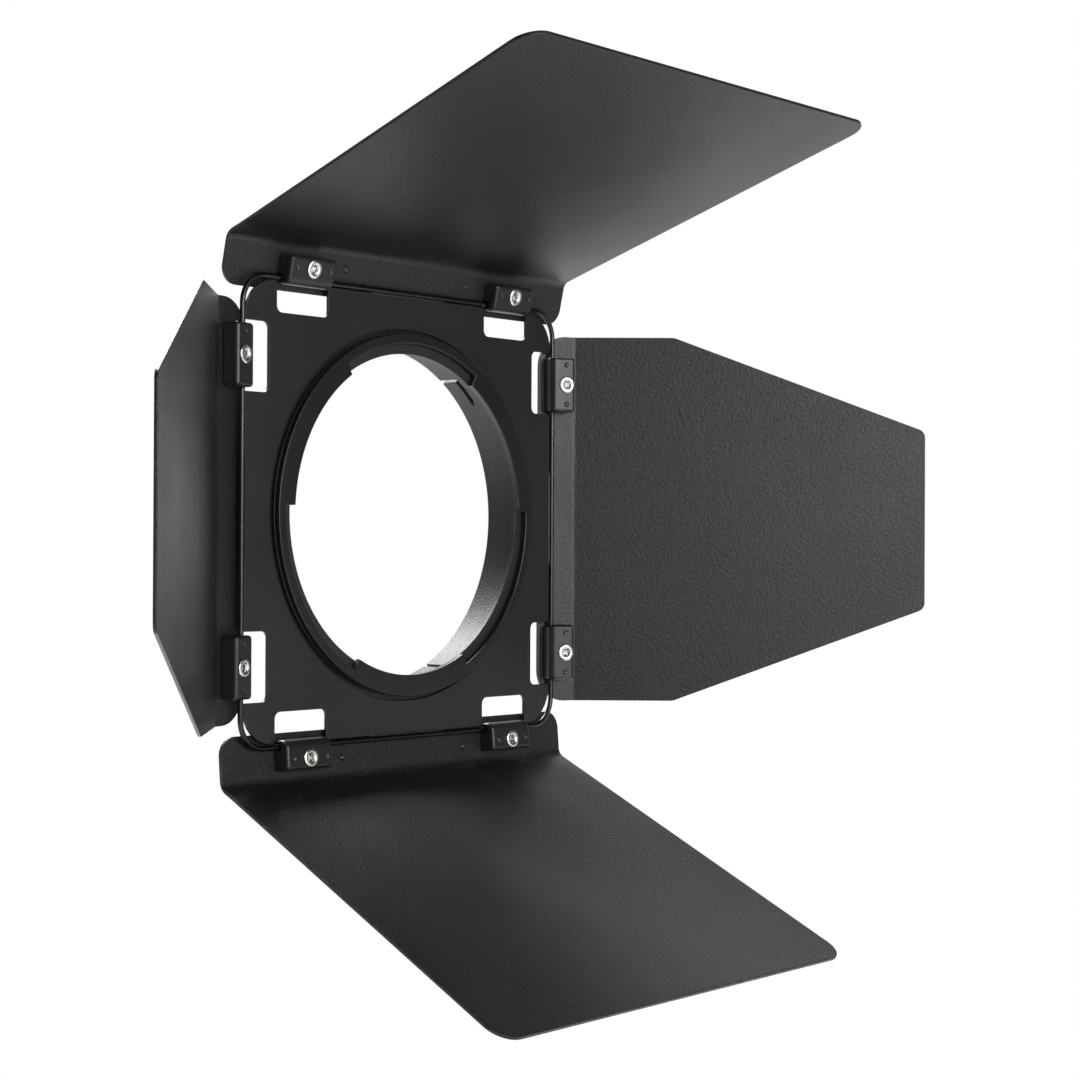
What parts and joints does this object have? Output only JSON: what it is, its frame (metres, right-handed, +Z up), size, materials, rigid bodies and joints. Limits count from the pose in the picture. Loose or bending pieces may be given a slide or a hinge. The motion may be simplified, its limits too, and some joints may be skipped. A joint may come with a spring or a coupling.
{
  "type": "barn door set",
  "caption": "Black sheet-metal barn doors for a studio lamp: hinged light-shaping leaves on a square plate that turns on a short bayonet mount tube.",
  "frame": {"origin": "centre of the mount tube's rear rim, where the lamp head's socket holds the set", "axes": "+Y along the optical axis towards the lamp, light leaves towards -Y; +Z up towards the top leaf; +X towards the right leaf as seen from the front"},
  "size_m": [0.3121, 0.1289, 0.2469],
  "materials": {
    "leaf_paint": "fine-textured black powder coat",
    "plate_paint": "fine-textured black powder coat",
    "ring_paint": "smooth satin black",
    "clip_paint": "fine-textured black powder coat",
    "black_wire": "black oxide wire",
    "spring_steel": "dark spring steel",
    "bright_nickel": "bright nickel plate",
    "pad_fibre": "dull friction fibre"
  },
  "bodies": {
    "mount": {"mount_tube": "ring_paint", "lug_ring": "ring_paint", "wave_washer": "spring_steel", "snap_ring": "spring_steel"},
    "plate": {"front_plate": "plate_paint", "swivel_ring": "ring_paint", "hinge_wire": "black_wire"},
    "top_door": {"top_leaf": "leaf_paint", "hinge_clip_top_left": "clip_paint", "friction_pad_top_left": "pad_fibre", "eyelet_rivet_top_left": "bright_nickel", "hinge_clip_top_right": "clip_paint", "friction_pad_top_right": "pad_fibre", "eyelet_rivet_top_right": "bright_nickel"},
    "bottom_door": {"bottom_leaf": "leaf_paint", "hinge_clip_bottom_left": "clip_paint", "friction_pad_bottom_left": "pad_fibre", "eyelet_rivet_bottom_left": "bright_nickel", "hinge_clip_bottom_right": "clip_paint", "friction_pad_bottom_right": "pad_fibre", "eyelet_rivet_bottom_right": "bright_nickel"},
    "left_door": {"left_leaf": "leaf_paint", "hinge_clip_left_upper": "clip_paint", "friction_pad_left_upper": "pad_fibre", "eyelet_rivet_left_upper": "bright_nickel", "hinge_clip_left_lower": "clip_paint", "friction_pad_left_lower": "pad_fibre", "eyelet_rivet_left_lower": "bright_nickel"},
    "right_door": {"right_leaf": "leaf_paint", "hinge_clip_right_upper": "clip_paint", "friction_pad_right_upper": "pad_fibre", "eyelet_rivet_right_upper": "bright_nickel", "hinge_clip_right_lower": "clip_paint", "friction_pad_right_lower": "pad_fibre", "eyelet_rivet_right_lower": "bright_nickel"}
  },
  "joints": [
    {"name": "plate_swivel", "type": "hinge", "parent": "mount", "child": "plate", "pos_m": [0, -0.0142, 0], "axis": [0, 1, 0], "continuous": true},
    {"name": "top_leaf_hinge", "type": "hinge", "parent": "plate", "child": "top_door", "pos_m": [0, -0.0142, 0.0668], "axis": [1, 0, 0], "range_deg": [-21.1, 108.5]},
    {"name": "bottom_leaf_hinge", "type": "hinge", "parent": "plate", "child": "bottom_door", "pos_m": [0, -0.0142, -0.0668], "axis": [1, 0, 0], "range_deg": [-116.1, 13.5]},
    {"name": "left_leaf_hinge", "type": "hinge", "parent": "plate", "child": "left_door", "pos_m": [-0.0668, -0.0142, 0], "axis": [0, 0, 1], "range_deg": [-22.1, 137.4]},
    {"name": "right_leaf_hinge", "type": "hinge", "parent": "plate", "child": "right_door", "pos_m": [0.0668, -0.0142, 0], "axis": [0, 0, 1], "range_deg": [-129.8, 29.7]}
  ]
}
